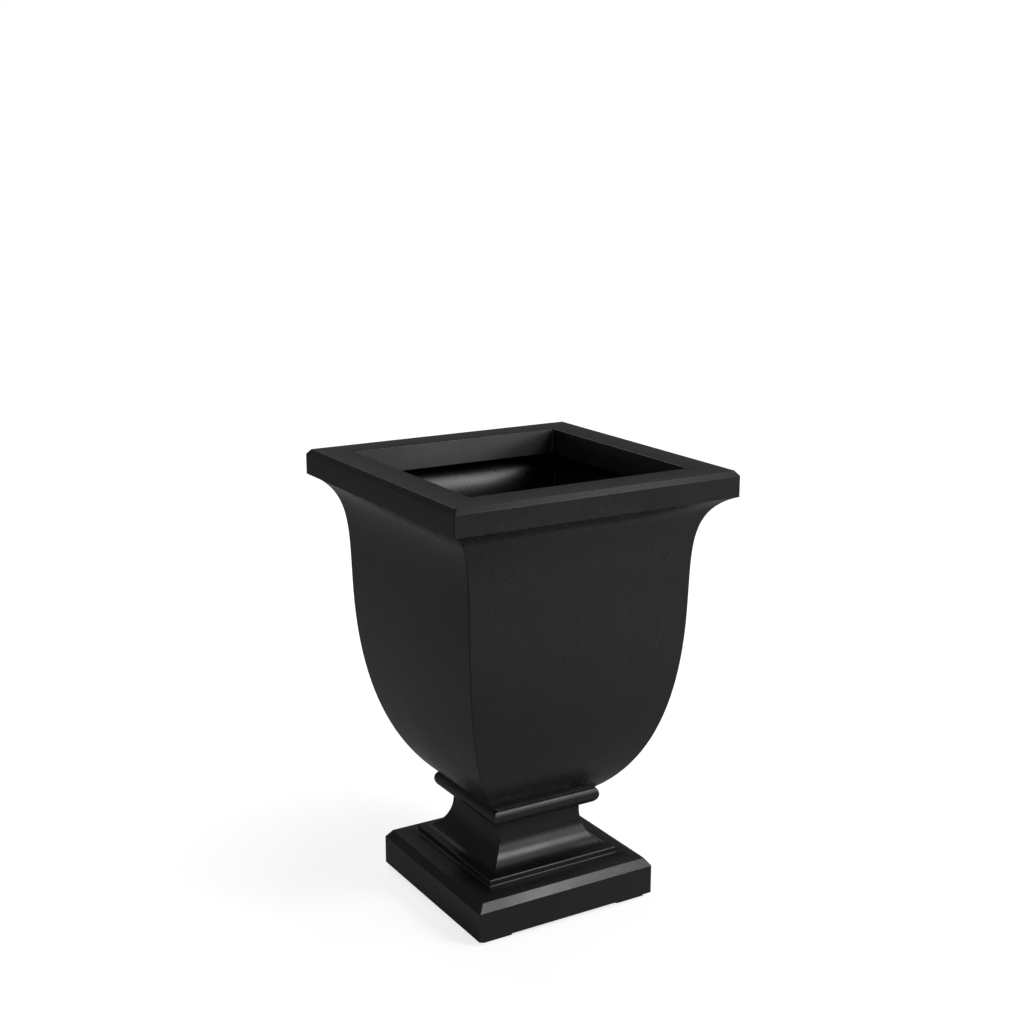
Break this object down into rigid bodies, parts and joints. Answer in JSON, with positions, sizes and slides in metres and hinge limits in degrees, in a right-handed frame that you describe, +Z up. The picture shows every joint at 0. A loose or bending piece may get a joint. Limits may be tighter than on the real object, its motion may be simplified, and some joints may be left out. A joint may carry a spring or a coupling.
{
  "type": "urn planter",
  "caption": "Square urn planter: a flared bowl with a wide banded rim, bolted to a moulded pedestal on a square plinth with rubber feet; a lift-out shelf over a water space.",
  "frame": {"origin": "on the floor, under the middle of the planter", "axes": "+Z up; the front faces -Y and the planter's right side, seen from the front, faces +X; the four sides of the planter are alike"},
  "size_m": [0.5, 0.5, 0.7244],
  "materials": {
    "bowl_plastic": "satin, very fine moulded grain",
    "pedestal_plastic": "satin, very fine moulded grain",
    "shelf_plastic": "satin, very fine moulded grain",
    "seal_rubber": "matt",
    "bung_rubber": "matt",
    "foot_rubber": "matt",
    "fastener_steel": "bright zinc"
  },
  "bodies": {
    "planter": {"bowl": "bowl_plastic", "pedestal": "pedestal_plastic", "joint_gasket": "seal_rubber", "seal_washers": "seal_rubber", "pedestal_bolts": "fastener_steel", "bolt_washers": "fastener_steel", "deck_washers": "fastener_steel", "lock_nuts": "fastener_steel", "foot_pad_front_left": "foot_rubber", "foot_pad_front_right": "foot_rubber", "foot_pad_rear_right": "foot_rubber", "foot_pad_rear_left": "foot_rubber"},
    "shelf": {"soil_shelf": "shelf_plastic"},
    "bung": {"drain_bung": "bung_rubber"}
  },
  "joints": [
    {"name": "shelf_lift", "type": "slide", "parent": "planter", "child": "shelf", "axis": [0, 0, 1], "range_m": [0, 0.54]},
    {"name": "bung_pull", "type": "slide", "parent": "planter", "child": "bung", "axis": [0, 0, 1], "range_m": [0, 0.05]}
  ]
}
